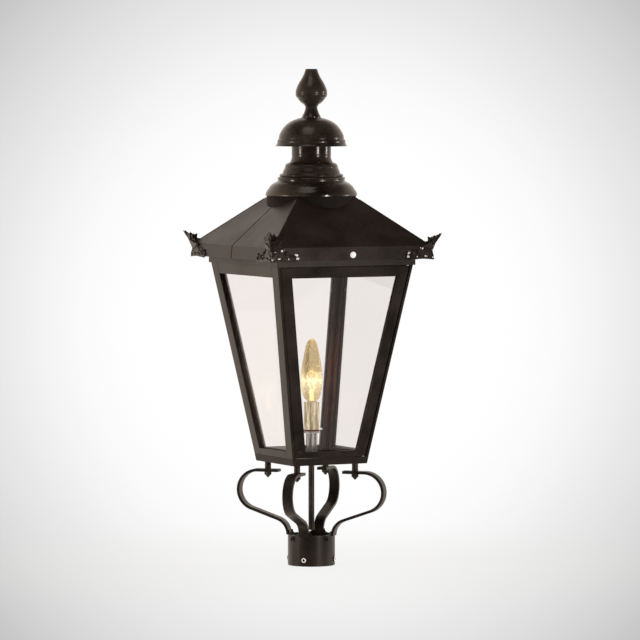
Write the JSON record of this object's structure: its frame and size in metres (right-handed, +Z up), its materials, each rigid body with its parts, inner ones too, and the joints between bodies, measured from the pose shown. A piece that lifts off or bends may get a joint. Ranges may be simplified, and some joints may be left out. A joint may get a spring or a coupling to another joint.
{
  "type": "post top lantern",
  "caption": "Tapered square post top lantern with glazed sides, hinged door, pyramid roof with stepped chimney and finial, pierced corner ornaments and curved legs on a post collar.",
  "frame": {"origin": "centre of the post socket's mouth, on the collar's lower end", "axes": "+Z up along the post, -Y out of the door's face, +X to the door's hinge side seen from the door"},
  "size_m": [0.3364, 0.3364, 0.866],
  "materials": {
    "black_paint": "semi-gloss",
    "zinc": "zinc plated",
    "pane_glass": "clear",
    "bulb_glass": "clear amber",
    "filament": "glowing",
    "candle_plastic": "satin",
    "white_ceramic": "glazed",
    "brass": "plain"
  },
  "bodies": {
    "lantern": {"post_collar": "black_paint", "leg_back_right": "black_paint", "leg_back_left": "black_paint", "leg_front_left": "black_paint", "leg_front_right": "black_paint", "collar_set_screws": "zinc", "leg_bolts": "zinc", "leg_spacers": "black_paint", "leg_nuts": "black_paint", "base_pan": "black_paint", "post_front_left": "black_paint", "post_front_right": "black_paint", "post_back_right": "black_paint", "post_back_left": "black_paint", "bottom_rails": "black_paint", "top_rails": "black_paint", "pane_right": "pane_glass", "pane_back": "pane_glass", "pane_left": "pane_glass", "pane_retainer_right": "black_paint", "pane_retainer_back": "black_paint", "pane_retainer_left": "black_paint", "eaves_frame": "black_paint", "terminal_block": "white_ceramic", "conduit_tube": "black_paint", "conduit_lock_nuts": "zinc", "lamp_stem": "black_paint", "lamp_holder": "white_ceramic", "candle_sleeve": "candle_plastic", "bulb_cap": "brass", "bulb_glass": "bulb_glass", "bulb_filament": "filament", "roof_hinge_frame_leaves": "black_paint", "roof_hinge_pins": "zinc", "roof_tab": "black_paint"},
    "door": {"door_frame": "black_paint", "door_pane": "pane_glass", "door_bead": "black_paint", "door_pins": "zinc"},
    "catch": {"catch_knob": "zinc", "catch_cam": "zinc"},
    "roof": {"roof_shell": "black_paint", "roof_seam_strip": "black_paint", "roof_soffit": "black_paint", "vent_collar": "black_paint", "chimney_skirt": "black_paint", "chimney_neck": "black_paint", "chimney_cap": "black_paint", "finial": "black_paint", "chimney_bridge": "black_paint", "chimney_rod": "zinc", "chimney_rod_nuts": "zinc", "roof_hinge_lid_knuckles": "black_paint", "ornament_front_right": "black_paint", "ornament_back_right": "black_paint", "ornament_back_left": "black_paint", "ornament_front_left": "black_paint", "ornament_rivets": "black_paint"},
    "roof_screw": {"roof_screw": "zinc", "roof_screw_nut": "zinc"}
  },
  "joints": [
    {"name": "door_hinge", "type": "hinge", "parent": "lantern", "child": "door", "pos_m": [0.06486, -0.07075, 0.192], "axis": [0.1656, -0.1656, 0.9722], "range_deg": [0, 95]},
    {"name": "catch_turn", "type": "hinge", "parent": "door", "child": "catch", "pos_m": [-0.06276, -0.07626, 0.205], "axis": [0, -0.9858, -0.1679], "range_deg": [0, 90]},
    {"name": "roof_hinge", "type": "hinge", "parent": "lantern", "child": "roof", "pos_m": [0, 0.14, 0.534], "axis": [-1, 0, 0], "range_deg": [0, 95]},
    {"name": "roof_screw_turn", "type": "hinge", "parent": "roof", "child": "roof_screw", "pos_m": [0, -0.155, 0.5475], "axis": [0, -1, 0], "continuous": true}
  ]
}
